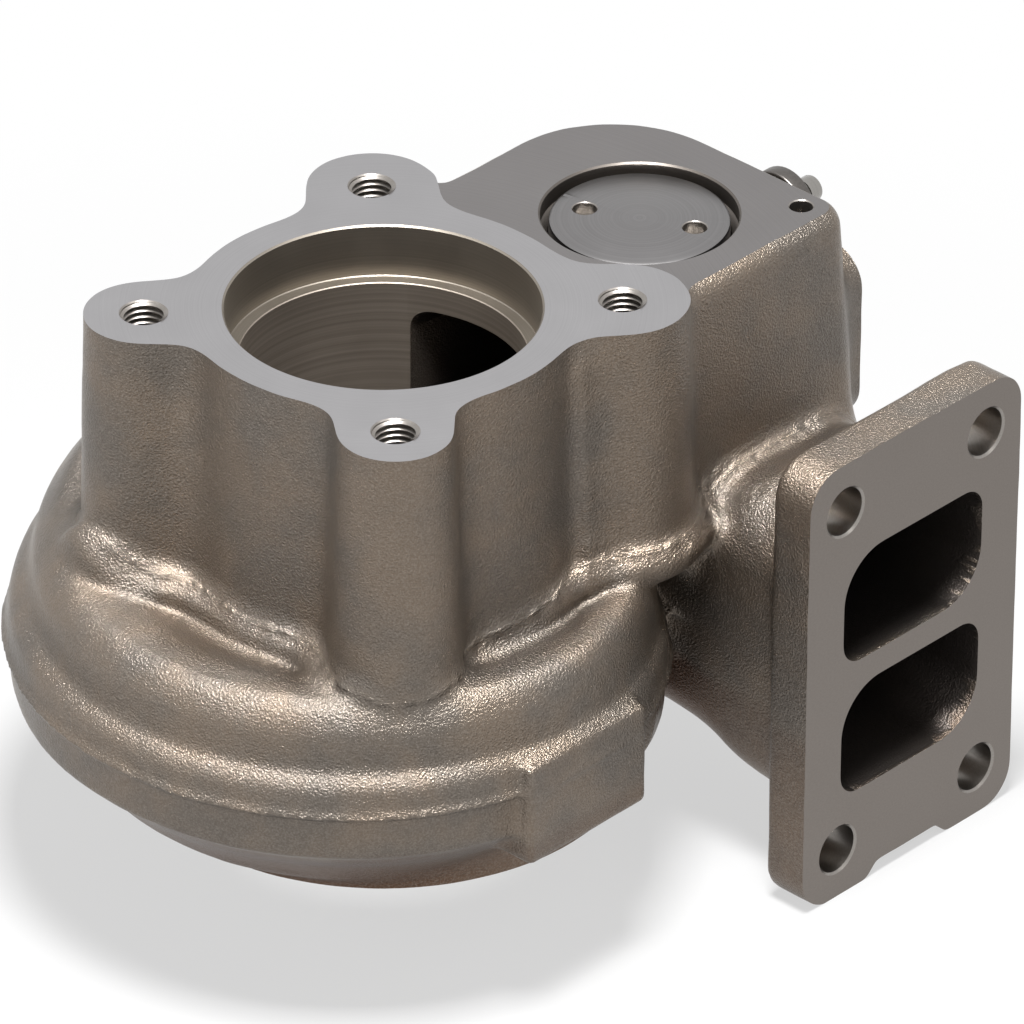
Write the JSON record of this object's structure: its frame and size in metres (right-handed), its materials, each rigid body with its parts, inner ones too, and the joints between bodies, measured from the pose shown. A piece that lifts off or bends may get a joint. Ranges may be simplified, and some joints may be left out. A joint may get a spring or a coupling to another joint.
{
  "type": "turbocharger turbine housing",
  "caption": "Twin-scroll turbine housing with a divided inlet flange, a tapped outlet flange and a built-in wastegate whose flap is worked by an outside lever.",
  "frame": {"origin": "middle of the inlet flange's face, on the divider between its two ports", "axes": "+X out of the inlet flange's face, +Z along the turbine axis towards the outlet, +Y across the inlet flange towards the wastegate lever's side"},
  "size_m": [0.1742, 0.209, 0.1437],
  "materials": {
    "cast_iron": "sand-cast, shot-blasted, with machined faces",
    "machined_iron": "turned",
    "heat_steel": "heat-resisting steel, satin",
    "bright_steel": "turned and polished"
  },
  "bodies": {
    "housing": {"turbine_housing": "cast_iron", "wastegate_plug": "machined_iron", "wastegate_bush": "heat_steel"},
    "wastegate": {"wastegate_crank": "heat_steel", "wastegate_valve": "heat_steel", "valve_washer": "heat_steel", "wastegate_lever": "heat_steel", "lever_pin": "bright_steel"}
  },
  "joints": [
    {"name": "wastegate_swing", "type": "hinge", "parent": "housing", "child": "wastegate", "pos_m": [-0.0635, 0.035, 0.0522], "axis": [0, 1, 0], "range_deg": [0, 45]}
  ]
}
